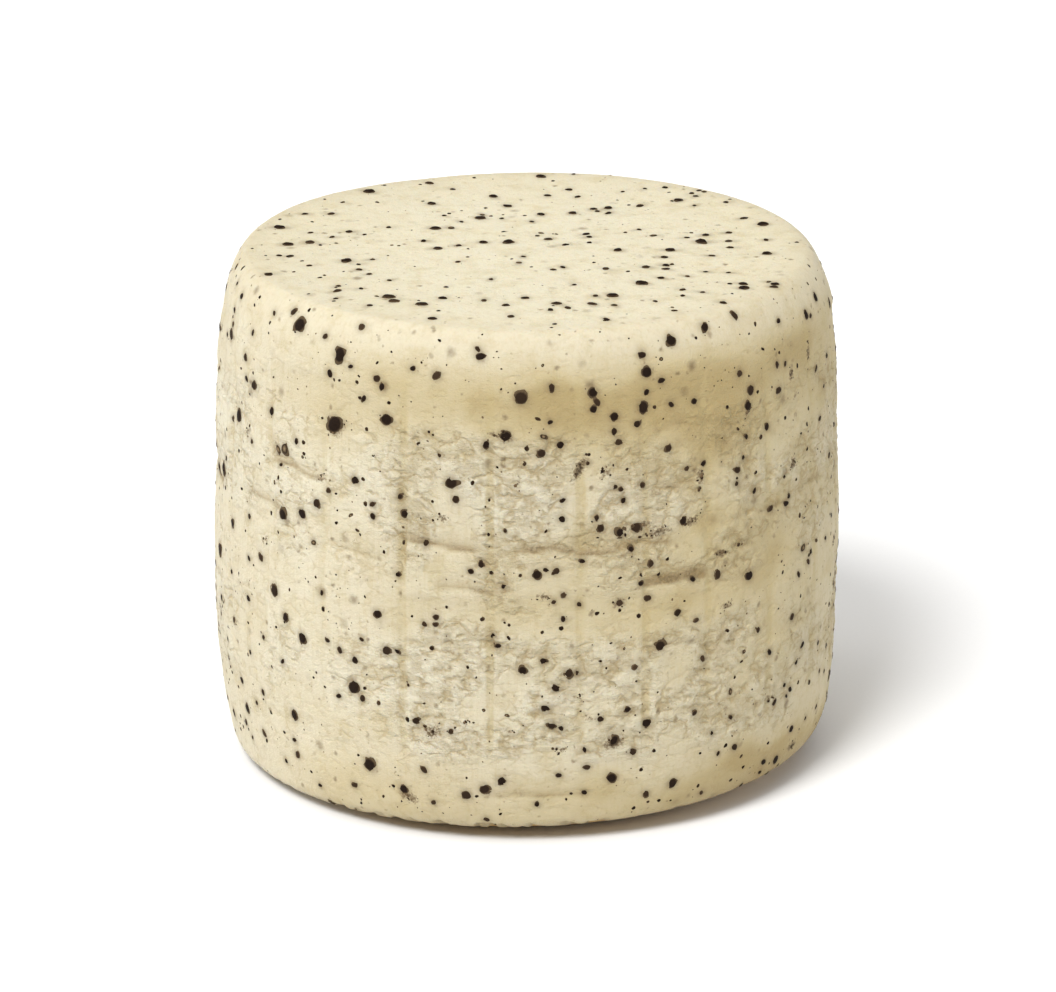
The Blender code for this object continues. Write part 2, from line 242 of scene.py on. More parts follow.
# Peppercorns that the photo shows on the side: bearing, height in mm, size in mm
SIDE_GRAINS = (
    (-36.5, 130, 3.9), (-37, 111, 4.8), (-48, 134.5, 4), (-26, 115, 3.3), (-60.5, 113.5, 2.6),
    (-49.5, 100, 2.9), (-40.5, 88, 2.6), (-49.5, 81.5, 3), (-44.5, 83.5, 3), (-1, 123.7, 3.6),
    (12, 124.5, 2.6), (22.3, 128.5, 3), (21.3, 119.3, 3.2), (28, 135.5, 3), (45, 118, 2.8),
    (44, 114, 2.5), (15.8, 117.6, 2.4), (-13.3, 100, 3.2), (-3.7, 113.3, 3), (19.7, 86.5, 2.8),
    (28.8, 86.6, 2.3), (16.7, 85.7, 2.4), (1.8, 75.3, 2.5), (43.5, 66.5, 2.9), (60, 67.5, 2.4),
    (-51.5, 59, 3.2), (-48.5, 52.6, 2.5), (-44, 48.4, 3.2), (-27, 61, 2.4), (-25.5, 50.7, 2.7),
    (-32.5, 38, 3.8), (-29.8, 16, 3.8), (24.2, 52.4, 2.9), (21.8, 30.5, 2.7), (15.5, 15.4, 2.9),
    (7.4, 47, 2.4), (3.3, 37.2, 2.3), (-0.7, 48.2, 2.3), (-4.5, 15.7, 2.4), (-7.6, 13.2, 2.8),
    (-11, 11, 2.7), (-23, 10.5, 2.6), (27.7, 11, 2.8), (55, 7, 2.7), (-47.7, 24, 2.8), (-65, 17.5, 2.8),
    (66, 131, 2.6), (73, 133, 2.6),
)

# The same on the top: millimetres to the right and to the back, size in mm
TOP_GRAINS = (
    (-45, 56, 3.4), (-69, 19, 3.2), (-66, 3, 3), (-49.5, -13.5, 3.3), (-25.5, 18, 2.8), (-13, 29, 2.8),
    (-5, 4.5, 3.2), (-12, 4.5, 2.4), (-24.5, -1, 2.5), (-37, -47, 3.2), (-28, -53.5, 3),
    (-22.5, -47.5, 2.4), (4, 72, 3), (43, 47, 2.6), (23, 39, 2.4), (66, 23, 3.4), (48.5, 5.5, 3.8),
    (39.5, -3, 2.8), (66, -5.5, 2.7), (25, -4, 2.5), (31, -35.5, 3.6), (23, -47, 3.2), (58.5, -39, 2.9),
    (-27, 43.5, 2.4),
)

# The rest of the larger peppercorns, spread over what the photo doesn't show
HIDDEN_GRAINS = 58
HIDDEN_GRAIN_SIZES = (2.3 * MM, 3.9 * MM)
GRAIN_GAP = 9 * MM
GRAIN_HEIGHTS = (7 * MM, HEIGHT - 4 * MM)

# Smaller ones that still stand out in the photo, placed the same way
SMALLER_SIDE_GRAINS = (
    (-54.5, 108.5, 2.2), (-51.5, 99, 2.2), (-38.5, 124.5, 2), (-64, 120, 2), (-22, 90, 2),
    (-16.5, 128.5, 2.2), (-8.5, 134, 2.2), (12.7, 121.8, 1.9), (20, 115, 1.9), (6, 110.7, 2.1),
    (2.6, 108.8, 2.1), (6.2, 90.5, 1.9), (21.7, 133, 2), (42.3, 123.4, 1.9), (53, 115, 2.2),
    (26, 107.3, 1.9), (40.7, 97.3, 1.9), (-12.5, 95.6, 1.9), (-56, 66.5, 2.2), (-18.2, 82.3, 2),
    (16.5, 66, 1.9), (27.6, 61, 2), (36, 69.5, 2.2), (54.5, 82.5, 2), (56.5, 49, 2), (5.2, 42.7, 2.2),
    (15.7, 26.7, 2.4), (19.3, 22.5, 2.1), (-66.9, 25, 2.2), (-48, 11.7, 2), (-18.7, 17.5, 2),
    (22.5, 9, 1.9), (41, 17.5, 2.1), (59.2, 14.2, 2.2), (36, 137, 2.4), (44, 138, 2.2), (-51, 137, 2),
    (-32, 97, 2.2),
)
SMALLER_TOP_GRAINS = (
    (-49.5, 15, 2), (-55, 32, 2), (-60, 5, 2.6), (-65, -9, 2), (-35.5, -51, 2.6), (-25, -67, 2.4),
    (-51, -41.5, 2.2), (-70, -26.5, 2.4), (-5.5, 41, 2.4), (-9.5, 51, 2.4), (-28, 66, 2.4), (12, 58, 2),
    (39.5, 60, 1.8), (32, 42, 2.4), (4, 32, 2.2), (13, 33, 2.4), (6, 7, 2), (16.5, 12, 2),
    (21.5, -21.5, 2), (32.5, -19.5, 2.2), (38, -17.5, 2), (58.5, -35, 2.4), (67, -35, 2.2),
    (17.5, -54, 2.2), (8, -53.5, 2.4), (52.5, -53, 2),
)

# Cracked pepper and dust: sizes, and pieces on a square centimetre of the side and of the top.
# The largest are left out where the photo shows each one
CRACKED_SIZES = (
    (1.6 * MM, 2.4 * MM, 0.34, 0.38), (1.2 * MM, 1.6 * MM, 0.34, 0.32),
    (0.9 * MM, 1.2 * MM, 0.4, 0.2), (0.6 * MM, 0.9 * MM, 0.38, 0.12),
)
SHOWN_LARGEST = 2.0 * MM
DUST_SIZES = ((0.3 * MM, 0.6 * MM, 1.4, 0.4),)
CRACKED_GAP = 0.5
PIECE_LOWEST = 1.2 * MM
TOP_EDGE = 0.5 * MM

# Smears of pepper dust in the photo: bearing, then height, half length and half width in mm, slant
# in degrees and strength
SMEARS = (
    (9.3, 104, 2.6, 0.9, 62, 1), (14, 103, 2, 1.2, 40, 0.5), (24, 84.5, 2.8, 0.8, 8, 0.8),
    (30.5, 86, 1.9, 0.9, 10, 0.8), (32.5, 98, 1.7, 0.7, 85, 0.8), (37, 75, 1.7, 0.7, 0, 0.9),
    (41, 76, 2.4, 0.9, 8, 0.4), (57, 93, 1.4, 1, 60, 0.9), (57.5, 118, 1.6, 0.7, 80, 0.9),
    (64.5, 121, 1.8, 0.6, 85, 0.8), (-3.7, 113.3, 1.3, 1.2, 0, 0.8), (-6, 113.8, 1.8, 0.6, 0, 0.5),
    (-15, 90, 1.4, 0.9, -20, 0.6), (3, 69, 1.5, 0.7, 5, 0.7), (-1.5, 101, 1.4, 0.6, 75, 0.5),
    (6.3, 25, 1.3, 0.6, 10, 0.7), (-3, 30.5, 1.6, 0.7, -5, 0.4), (9.5, 40, 1.7, 0.8, 88, 0.4),
    (11, 34, 1.7, 0.7, -15, 0.6), (-11, 33, 1.3, 0.9, -20, 0.5), (16.5, 66, 1.4, 0.9, 30, 0.7),
    (15.7, 26, 2, 1.3, 20, 0.9), (-17, 29, 1.7, 1.2, 40, 0.8), (-36, 110, 2, 1.3, 50, 0.6),
    (38, 60, 1.6, 0.9, 10, 0.7), (61, 7, 2.2, 1, 0, 0.8), (-22, 9, 2, 1.2, -20, 0.7),
    (44, 113, 1.8, 0.9, 70, 0.6), (21, 87, 2.6, 0.7, 2, 0.6), (-62, 100, 1.6, 0.8, 80, 0.5),
    (-55, 72, 1.6, 0.9, 30, 0.5), (-40, 95, 1.5, 1, 20, 0.5), (50, 28, 1.8, 0.8, 15, 0.6),
)

# Those that the photo doesn't show, nearly level or nearly upright, drawn from ranges of the same
# values. Then a smear's pieces: how many, how large, how gathered, and how low and high they lie
HIDDEN_SMEARS = 40
SMEAR_HEIGHTS = (8.0, 128.0)
SMEAR_LENGTHS = (1.3, 2.7)
SMEAR_WIDTHS = (0.6, 1.2)
SMEAR_SLANTS = ((5.0, 12.0), (80.0, 12.0))
SMEAR_STRENGTHS = (0.4, 1.0)
SMEAR_PIECES = 10
SMEAR_SIZES = (0.3 * MM, 0.9 * MM)
SMEAR_GATHERED = 0.8
SMEAR_ENDS = (2.0, 136.0)

# Each kind of pepper: how fine a piece's mesh is, how proud it stands as a share of its size, how
# much wider it is made, how far it is stretched, and its tones, black to husk
KINDS = {
    "whole_pepper": (3, 0.07, 1.05, (1.0, 1.25), (0.0, 0.6)),
    "cracked_pepper": (2, 0.10, 1.14, (1.0, 1.6), (0.1, 0.78)),
    "pepper_dust": (1, 0.10, 1.14, (1.0, 1.6), (0.4, 0.95)),
}

# A piece of pepper: how proud it stands where it faces up, its thickness as a share of its size,
# its lumps, its broken sides, how many show a pale inside and how much of it
TOP_PROUD = 0.2
TOP_FACING = (0.6, 0.95)
PIECE_THICKNESS = 0.55
PIECE_LUMPS = ((1.4, 0.22), (4.0, 0.08))
BREAKS = (1, 3)
BREAK_TILTS = (-0.3, 0.3)
BREAK_AT = (0.7, 0.95)
PALE_SHARE = 0.04
PALE_REACH = 0.7

# How far past its edge a piece stains the skin and presses it level, the least size that does,
# and how far above and below it the skin is looked through
GRAIN_STAIN = 0.6 * MM
BED_REACH = 0.8 * MM
BEDDED = 1.2 * MM
NEAR_GRAIN = 4 * MM

# Flecks under the skin, and pits in it that are only painted shade: the size of their cells, the share
# that has none, how brown the flecks are, and how both are bent
FLECKS = ((2.3 * MM, 0.5, 0.6), (4.6 * MM, 0.35, 0.75), (9 * MM, 0.3, 0.65))
PITS = (1.9 * MM, 0.5)
FLECK_BEND = 1.6 * MM

# The light of the room, and each lamp: bearing, elevation, strength, and how wide it looks
ROOM_COLOUR = (1.0, 0.97, 0.905)
ROOM_STRENGTH = 0.215
LAMPS = {
    "key": (-28.0, 49.5, 2.75, 21.0),
    "overhead": (-37.0, 83.5, 1.33, 80.0),
    "fill": (-103.0, 14.0, 0.85, 26.0),
    "right fill": (80.0, 14.0, 0.95, 60.0),
}
FLOOR_HALF = 8.0

# The photo's camera: lens on a 36 mm sensor, distance, and where the wheel's middle sits
SENSOR = 36.0
LENS = 191.7
CAMERA_DISTANCE = 18 * RADIUS
CAMERA_ELEVATION = 19.0
AIM_HEIGHT = HEIGHT / 2 + UNDER_DROP
AIM_RIGHT = 0.45 * MM
AIM_DOWN = 2.6 * MM
CLIP = (0.05, 50.0)


def ease(start, end, x):
    """0 up to start, 1 from end on, with a smooth S between."""
    t = np.clip((x - start) / (end - start), 0.0, 1.0)
    return t * t * (3.0 - 2.0 * t)


def plateau(x, band, rise, fall):
    """1 inside a band of x, rising from its low end and falling to its high end."""
    low, high = band
    return ease(low, low + rise, x) * ease(high, high - fall, x)


def noise_at(places, kind, step=0):
    """One kind of smooth noise, about -1 to 1, at each place, with lumps about 1 across."""
    seed = NOISES[kind] + step
    shift = Vector((31.7 * seed, 12.9 * seed, 7.3 * seed))
    return np.array([noise.noise(Vector(place) + shift) for place in places])


def wave_at(points, wave, kind):
    """How far each point is moved by a wave, which is given as its length and its height."""
    length, height = wave
    return height * noise_at(points / length, kind)


def drawing(kind):
    """The random numbers for one kind of thing, the same on every run."""
    return random.Random(SEED + DRAWS[kind])


def bearing_of(points):
    """The bearing of each point, in degrees."""
    return np.degrees(np.arctan2(points[:, 0], -points[:, 1]))


def reach_of(points):
    """How far each point lies from the wheel's axis."""
    return np.hypot(points[:, 0], points[:, 1])


def bearing_off(bearing, middle):
    """How many degrees a bearing lies past a middle, from -180 to 180."""
    return (bearing - middle + 180.0) % 360.0 - 180.0


def within(bearing, side):
    """1 on a side of the wheel, fading to 0 round each end of it."""
    start, end, fade = side
    middle, half = (start + end) / 2, (end - start) / 2
    return ease(half + fade / 2, half - fade / 2, np.abs(bearing_off(bearing, middle)))


def quarter(reach, size, depth):
    """How far an edge, rounded to a size and depth, draws in at some reach into it."""
    share = min(max(reach / size, 0.0), 1.0)
    return depth * (1.0 - math.sqrt(1.0 - share * share))


def radius_at(z):
    """The drum's radius at a height."""
    bow = BULGE * ((z - WIDEST_Z) / (HEIGHT / 2)) ** 2
    shoulder = quarter(z - (HEIGHT - SHOULDER_DOWN), SHOULDER_DOWN, SHOULDER_IN)
    waist = quarter(WAIST_UP - z, WAIST_UP, WAIST_IN)
    foot = quarter(FOOT_UP - z, FOOT_UP, FOOT_IN)
    return RADIUS - bow - shoulder - waist - foot


def slot_bearings():
    """The shown slots, then the others, evenly round the side that the photo doesn't show."""
    last = SHOWN_SLOTS[-1]
    hidden = SLOT_COUNT - len(SHOWN_SLOTS)
    step = (SHOWN_SLOTS[0] + 360.0 - last) / (hidden + 1)
    return list(SHOWN_SLOTS) + [last + step * (i + 1) for i in range(hidden)]


def slot_relief(bearing, z, band):
    """The upright channels in a band: shallow, and broken where the curd filled the slot."""
    depth = np.zeros(len(z))
    reach = plateau(z, band, SLOT_FADE, SLOT_FADE)
    for i, middle in enumerate(slot_bearings()):
        across = np.radians(bearing_off(bearing, middle)) * RADIUS
        near = (np.abs(across) < 3 * SLOT_HALF_WIDTH) & (reach > 0)
        places = [(0.0, 4.0 * i, level / SLOT_BREAK) for level in z[near]]
        if places:
            share = SLOT_OPEN + SLOT_VARY * noise_at(places, "slots")
            trough = np.exp(-((across[near] / SLOT_HALF_WIDTH) ** 4))
            depth[near] += SLOT_DEPTH * np.clip(share, 0.0, 1.0) * trough * reach[near]
    return -depth


def weave(points, bearing, z):
    """How far each point's block stands out of the others, -1 to 1."""
    draw = drawing("weave")
    columns = range(SLOT_COUNT + 1)
    rise = np.array([[draw.uniform(-1.0, 1.0) for _ in range(WEAVE_ROWS)] for _ in columns])
    start = np.array([draw.random() for _ in columns])
    edges = np.sort(np.array(slot_bearings()) % 360.0)
    column = np.searchsorted(edges, bearing % 360.0) % SLOT_COUNT
    row = (z + wave_at(points, WEAVE_WAVE, "weave wave")) / WEAVE_TALL + start[column] + 1.0
    whole = np.clip(np.floor(row).astype(int), 0, WEAVE_ROWS - 2)
    step = ease(1.0 - WEAVE_EDGE, 1.0, row - whole)
    found = rise[column, whole] * (1.0 - step) + rise[column, whole + 1] * step
    reach = plateau(z, WEAVE_BAND, WEAVE_FADE, WEAVE_FADE)
    patches = noise_at(points / WEAVE_PATCH, "weave patches")
    return found * reach * ease(-WEAVE_PATCH_LEVEL, WEAVE_PATCH_LEVEL, patches)


def creases():
    """The shown creases, then more of them on the rest of the side."""
    draw = drawing("creases")
    found = [(a, low * MM, b, high * MM, deep * MM) for a, low, b, high, deep in SHOWN_CREASES]
    for _ in range(HIDDEN_CREASES):
        start = draw.uniform(HIDDEN_FROM, HIDDEN_TO)
        end = start + draw.uniform(*CREASE_SPANS)
        near_line = draw.gauss(CREASE_LINE * HEIGHT, CREASE_LINE_SPREAD)
        low = draw.choice((near_line, draw.uniform(*CREASE_HEIGHTS) * HEIGHT))
        high = low + draw.uniform(*CREASE_SLANTS) * MM
        found.append((start, low, end, high, draw.uniform(*CREASE_DEPTHS) * MM))
    return found


def crease_relief(bearing, z):
    """The creases: the skin sinks slowly from above and steps out again at a lip below."""
    depth = np.zeros(len(z))
    for i, (start, z0, end, z1, deep) in enumerate(creases()):
        half = (end - start) / 2.0
        along = bearing_off(bearing, start + half) / half
        near = np.abs(along) < 1.0
        near &= np.abs(z - (z0 + z1) / 2) < 6 * CREASE_SLOPE
        if not near.any():
            continue
        places = [(x * half / CREASE_RUN, 3.0 * i, 0.0) for x in along[near]]
        level = z0 + (z1 - z0) * (along[near] + 1) / 2 + CREASE_WAVE * noise_at(places, "creases")
        above = z[near] - level
        fall = np.where(above > 0, np.exp(-above / CREASE_SLOPE), np.exp(above / CREASE_LIP))
        ends = ease(1.0, CREASE_TAPER, np.abs(along[near]))
        depth[near] = np.maximum(depth[near], deep * fall * ends)
    return -depth


def curd_share(points, bearing, z):
    """How wrinkled the skin is: two bands of patches, fainter at both sides of the front."""
    band = np.zeros(len(z))
    level = z + wave_at(points, CURD_WAVE, "curd wave")
    for heights in CURD_BANDS:
        band = np.maximum(band, plateau(level, heights, CURD_FADE, CURD_FADE))
    share = band * ease(*CURD_PATCH_LEVELS, noise_at(points / CURD_PATCH, "curd patches"))
    for side, less in SMOOTH_SIDES:
        share = share * (1.0 - less * within(bearing, side))
    return share


def seams(points):
    """How near each point is to a seam between two plates: 1 on the seam, 0 well inside."""
    long, tall, _ = PLATES
    bent = points / (long, long, tall)
    bends = [noise_at(SEAM_BENDS * bent, "seams", i) for i in range(3)]
    bent = bent + SEAM_BEND * np.column_stack(bends)
    nearest = [noise.voronoi(Vector(place))[0] for place in bent]
    return ease(SEAM_SHARE, 0.0, np.array([near[1] - near[0] for near in nearest]))


def marks(points, sizes, kind):
    """Noise for one kind of mark, and that mark's height."""
    long, tall, height = sizes
    return noise_at(points / (long, long, tall), kind), height


def curd_relief(points, share):
    """The height of folds, dimples and a crumbly grain, and how deep in them each point is."""
    folds, fold_depth = marks(points, WRINKLES, "wrinkles")
    holes, hole_depth = marks(points, DIMPLES, "dimples")
    crumbs, crumb_height = marks(points, CRUMBS, "crumbs")
    creased = ease(FOLD_LEVEL, 0.0, np.abs(folds + DIMPLES_IN_FOLDS * holes))
    sunk = ease(*DIMPLE_LEVELS, holes + CRUMBS_IN_DIMPLES * crumbs)
    parted = seams(points) * ease(*SEAM_LEVELS, folds - holes)
    sunken = fold_depth * creased + hole_depth * sunk + PLATES[2] * parted
    height = crumb_height * crumbs * (CRUMBS_ELSEWHERE + share) - share * sunken
    return height, share * np.maximum(np.maximum(creased, sunk), parted)


def underside_shift(points):
    """How far each point moves up or down to bow the underside and lean its edge."""
    lean = EDGE_LEAN * np.sin(np.arctan2(points[:, 0], -points[:, 1]))
    out = (reach_of(points) - (radius_at(0.0) - UNDER_RING)) / UNDER_RING
    bowed = (UNDER_DROP + lean) * np.clip(out, 0.0, 1.0) ** 2 - UNDER_DROP
    leant = lean * ease(EDGE_LEAN_UP, 0.0, points[:, 2])
    return np.where(points[:, 2] > 0.001 * MM, leant, bowed)


def chip_rise(points):
    """How far chips raise the edge of the foot at each point."""
    crumbly = within(bearing_of(points), CHIPPED_SIDE)
    chips = ease(0.0, CHIP_LEVEL, noise_at(points / (CHIP_SIZE, CHIP_SIZE, CHIP_TALL), "chips"))
    out = reach_of(points) - radius_at(0.0)
    near = ease(CHIP_REACH, 0.0, points[:, 2]) * ease(-CHIP_REACH, 0.0, out)
    return CHIP_RISE * chips * near * (CHIPS_ELSEWHERE + (1.0 - CHIPS_ELSEWHERE) * crumbly)


def whey_stain_and_painted_shade(points, bearing, z):
    """How yellow the skin is: a ragged band under the shoulder, and patches below it, partly whey stain
    and partly painted shade, with the shaded right painted yellower and the lit left painted paler.
    """
    level = z + wave_at(points, STAIN_WAVE, "stain wave")
    shaded_side = within(bearing, SHADED_RIGHT_SIDE)
    start = BAND_LOW - SHADED_SIDE_LOWER * shaded_side
    rise, fall = BAND_FADES
    band = ease(0.0, rise, level - start) * ease(BAND_HIGH, BAND_HIGH - fall, z)
    off = np.abs(bearing_off(bearing, BAND_MIDDLE))
    front = BAND_ELSEWHERE + (1.0 - BAND_ELSEWHERE) * ease(BAND_REACH, BAND_CORE, off)
    front += STAIN_SHARES["deepest"] * within(bearing, DEEPEST_SIDE)
    middle = plateau(level, MID_STAIN, *MID_FADES) * within(bearing, MID_SIDE)
    found = band * front
    found += STAIN_SHARES["clouds"] * ease(0.0, CLOUD_LEVEL, noise_at(points / CLOUD_SIZE, "clouds"))
    found += STAIN_SHARES["foot"] * ease(*FOOT_STAIN, level)
    found += STAIN_SHARES["middle"] * middle
    found += STAIN_SHARES["shaded_side"] * shaded_side * (1.0 - band)
    lit_paler = 1.0 - LIT_PALER_SHARE * within(bearing, LIT_PALER_SIDE)
    return np.clip(found * lit_paler, 0.0, STAIN_MOST)


def rim_tint(points, bearing):
    """How yellow the top is towards its rim, but not in front."""
    away = ease(*RIM_TINTED, reach_of(points))
    return RIM_TINT * away * (1.0 - within(bearing, UNTINTED_SIDE))


def skin(points):
    """How far the skin stands out at each point, and the shares that its colours need."""
    bearing, z = bearing_of(points), points[:, 2]
    side = ease(HEIGHT, HEIGHT - SHOULDER_DOWN, z)
    lumps = np.zeros(len(z))
    for i, (size, height) in enumerate(LUMPS):
        lumps += height * noise_at(points / size, "lumps", i)
    lumps += wave_at(points, SKIN_LUMPS, "skin lumps") * side
    lumps *= TOP_LUMP_SHARE + (1.0 - TOP_LUMP_SHARE) * side
    slots = slot_relief(bearing, z, SLOT_BAND) * side
    blocks = weave(points, bearing, z) * side
    folds = crease_relief(bearing, z) * side
    share = curd_share(points, bearing, z) * side
    curd, sunk = curd_relief(points, share)
    height = (lumps + slots + folds + curd + WEAVE_STEP * blocks) * ease(0.0, 2 * FOOT_UP, z)
    stripes = -slot_relief(bearing, z, STRIPE_BAND) / SLOT_DEPTH
    # Among these, the creases, the sunk marks and the blocks that sink carry painted shade, and the
    # blocks that stand out carry painted light
    shares = {
        "slot": stripes * (1.0 - FAINTER * within(bearing, FAINT_STRIPES)),
        "crease": -folds / MM,
        "curd": share,
        "whey_and_painted_shade": whey_stain_and_painted_shade(points, bearing, z) * side + rim_tint(points, bearing) * (1.0 - side),
        "sunk": sunk,
        "side": side,
        "raised": np.clip(blocks, 0.0, 1.0),
        "lowered": np.clip(-blocks, 0.0, 1.0),
        "outer": ease(*OUTER, reach_of(points)),
    }
    return height, shares


def side_curve():
    """Points (radius, height) down the side, evenly spaced along it."""
    turns = [math.pi * i / CURVE_STEPS for i in range(CURVE_STEPS + 1)]
    fine = [HEIGHT * (1 - math.cos(turn)) / 2 for turn in turns]
    fine = np.array([(radius_at(z), z) for z in reversed(fine)])
    run = np.concatenate([[0.0], np.cumsum(np.hypot(*np.diff(fine, axis=0).T))])
    stops = np.linspace(0.0, run[-1], round(run[-1] / SIDE_STEP) + 1)
    return np.column_stack([np.interp(stops, run, column) for column in fine.T])


def skin_profile():
    """Rings (radius, height) from the middle of the top to the middle of the underside."""
    side = side_curve()
    rim, foot = side[0, 0], side[-1, 0]
    rings = round(rim / FLAT_STEP)
    top = [(rim * i / rings, HEIGHT) for i in range(1, rings)]
    crowded = [(i / UNDER_RINGS) ** UNDER_CROWDING for i in range(1, UNDER_RINGS)]
    ring = [(foot - UNDER_RING * share, 0.0) for share in crowded]
    flat = foot - UNDER_RING
    under = [(flat * i / FLAT_RINGS, 0.0) for i in reversed(range(1, FLAT_RINGS + 1))]
    return np.array(top + side.tolist() + ring + under)


def skin_grid():
    """The points, outward directions and faces of the skin before its relief."""
    rings = skin_profile()
    steps = np.gradient(rings, axis=0)
    steps /= np.linalg.norm(steps, axis=1)[:, None]
    turn = np.linspace(0.0, math.tau, COLUMNS, endpoint=False)
    round_x, round_y = np.sin(turn), -np.cos(turn)

    def spun(r, z):
        return np.stack([np.outer(r, round_x), np.outer(r, round_y),
                         np.outer(z, np.ones(COLUMNS))], axis=-1).reshape(-1, 3)

    points = spun(rings[:, 0], rings[:, 1])
    outward = spun(-steps[:, 1], steps[:, 0])
    points = np.vstack([points, [(0.0, 0.0, HEIGHT), (0.0, 0.0, 0.0)]])
    outward = np.vstack([outward, [(0.0, 0.0, 1.0), (0.0, 0.0, -1.0)]])
    last, middle = COLUMNS * (len(rings) - 1), COLUMNS * len(rings)
    pairs = [(i, (i + 1) % COLUMNS) for i in range(COLUMNS)]
    faces = [(ring + i, ring + COLUMNS + i, ring + COLUMNS + j, ring + j)
             for ring in range(0, last, COLUMNS) for i, j in pairs]
    for i, j in pairs:
        faces += [(middle, i, j), (middle + 1, last + j, last + i)]
    return points, outward, faces


def new_object(name, data):
    """An object in the scene."""
    found = bpy.data.objects.new(name, data)
    bpy.context.scene.collection.objects.link(found)
    return found


def new_piece(name, points, faces, material, shares):
    """A smooth mesh piece that rides on the wheel, with the numbers that its material reads."""
    mesh = bpy.data.meshes.new(name)
    mesh.from_pydata(points.tolist(), [], faces)
    for kind, values in shares.items():
        layer = mesh.attributes.new(kind, "FLOAT", "POINT")
        layer.data.foreach_set("value", np.asarray(values, np.float32))
    mesh.materials.append(material)
    mesh.shade_smooth()
    piece = new_object(name, mesh)
    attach(piece, BODY)
    return piece


def side_place(bearing, z):
    """The point and outward direction on the drum's side at a bearing and height."""
    turn = math.radians(bearing)
    step = 0.2 * MM
    lean = (radius_at(z - step) - radius_at(z + step)) / (2 * step)
    outward = Vector((math.sin(turn), -math.cos(turn), 0.0))
    return outward * radius_at(z) + z * UP, (outward + lean * UP).normalized()


def leaning(bearing, z):
    """How far the leaning edge of the foot lifts the side at a bearing and height."""
    return EDGE_LEAN * math.sin(math.radians(bearing)) * float(ease(EDGE_LEAN_UP, 0.0, z))


def placed(side_grains, top_grains):
    """Point, outward direction and size of each peppercorn in two lists."""
    found = []
    for bearing, z, size in side_grains:
        level = z * MM - leaning(bearing, z * MM)
        found.append((*side_place(bearing, level), size * MM))
    found += [(Vector((x * MM, y * MM, HEIGHT)), UP, size * MM) for x, y, size in top_grains]
    return found


def hidden_grains(taken):
    """The same for the unseen side, clear of those already placed."""
    draw = drawing("peppercorns")
    small, large = HIDDEN_GRAIN_SIZES
    found = []
    while len(found) < HIDDEN_GRAINS:
        bearing = draw.uniform(HIDDEN_FROM, HIDDEN_PEPPER_TO)
        z = draw.uniform(*GRAIN_HEIGHTS)
        point, outward = side_place(bearing, z)
        size = small + (large - small) * draw.random() ** 2
        if all((point - other[0]).length > GRAIN_GAP for other in taken + found):
            found.append((point, outward, size))
    return found


def random_side(draw):
    """A point and outward direction anywhere on the side."""
    return side_place(draw.uniform(-180.0, 180.0), draw.uniform(PIECE_LOWEST, HEIGHT - TOP_EDGE))


def random_top(draw):
    """The same anywhere on the top."""
    turn, r = draw.uniform(0.0, math.tau), radius_at(HEIGHT) * math.sqrt(draw.random())
    return Vector((r * math.sin(turn), r * math.cos(turn), HEIGHT)), UP


def is_shown(point):
    """Whether a point of the skin is one that the photo shows."""
    bearing = math.degrees(math.atan2(point.x, -point.y))
    return point.z > HEIGHT - TOP_EDGE or abs(bearing) < HIDDEN_FROM


def smears():
    """The shown smears, then as many more with values drawn from the same ranges."""
    draw = drawing("smears")
    found = list(SMEARS)
    for _ in range(HIDDEN_SMEARS):
        bearing = draw.uniform(HIDDEN_FROM, HIDDEN_PEPPER_TO)
        long, wide = draw.uniform(*SMEAR_LENGTHS), draw.uniform(*SMEAR_WIDTHS)
        slant = draw.choice([draw.gauss(*slants) for slants in SMEAR_SLANTS])
        z, strength = draw.uniform(*SMEAR_HEIGHTS), draw.uniform(*SMEAR_STRENGTHS)
        found.append((bearing, z, long, wide, slant, strength))
    return found


def smear_haze(points):
    """How brown the dust of each smear makes the skin."""
    bearing = bearing_of(points)
    haze = np.zeros(len(points))
    for middle, z, long, wide, slant, strength in smears():
        turn = math.radians(slant)
        right = np.radians(bearing_off(bearing, middle)) * RADIUS / MM
        up = points[:, 2] / MM - z
        along = (right * math.cos(turn) + up * math.sin(turn)) / long
        across = (up * math.cos(turn) - right * math.sin(turn)) / wide
        haze = np.maximum(haze, strength * np.exp(-0.5 * (along ** 2 + across ** 2)))
    return haze


def smear_pieces():
    """Crumbs of pepper along the smears."""
    draw = drawing("smear pieces")
    found = []
    for bearing, z, long, wide, slant, strength in smears():
        angle = math.radians(slant)
        for _ in range(round(SMEAR_PIECES * strength)):
            along, across = draw.gauss(0.0, long), draw.gauss(0.0, SMEAR_GATHERED * wide)
            right = along * math.cos(angle) - across * math.sin(angle)
            up = along * math.sin(angle) + across * math.cos(angle)
            level = float(np.clip(z + up, *SMEAR_ENDS)) * MM
            turn = bearing + math.degrees(right * MM / RADIUS)
            found.append((*side_place(turn, level), draw.uniform(*SMEAR_SIZES)))
    return found


def scattered(sizes, taken, kind):
    """Pieces of pepper strewn over the whole skin, clear of the larger ones."""
    draw = drawing(kind)
    side_area = math.tau * RADIUS * HEIGHT
    top_area = math.pi * radius_at(HEIGHT) ** 2
    spots = np.array([list(point) for point, _, _ in taken])
    reach = np.array([size / 2 for _, _, size in taken])
    found = []
    for small, large, on_side, on_top in sizes:
        counts = (on_side * side_area / SQUARE_CM, on_top * top_area / SQUARE_CM)
        for place, count in zip((random_side, random_top), counts):
            for _ in range(round(count)):
                point, outward = place(draw)
                size = draw.uniform(small, large)
                gaps = np.linalg.norm(spots - np.array(point), axis=1) - reach
                hidden = size < SHOWN_LARGEST or not is_shown(point)
                if hidden and gaps.min() > CRACKED_GAP * size:
                    found.append((point, outward, size))
    return found


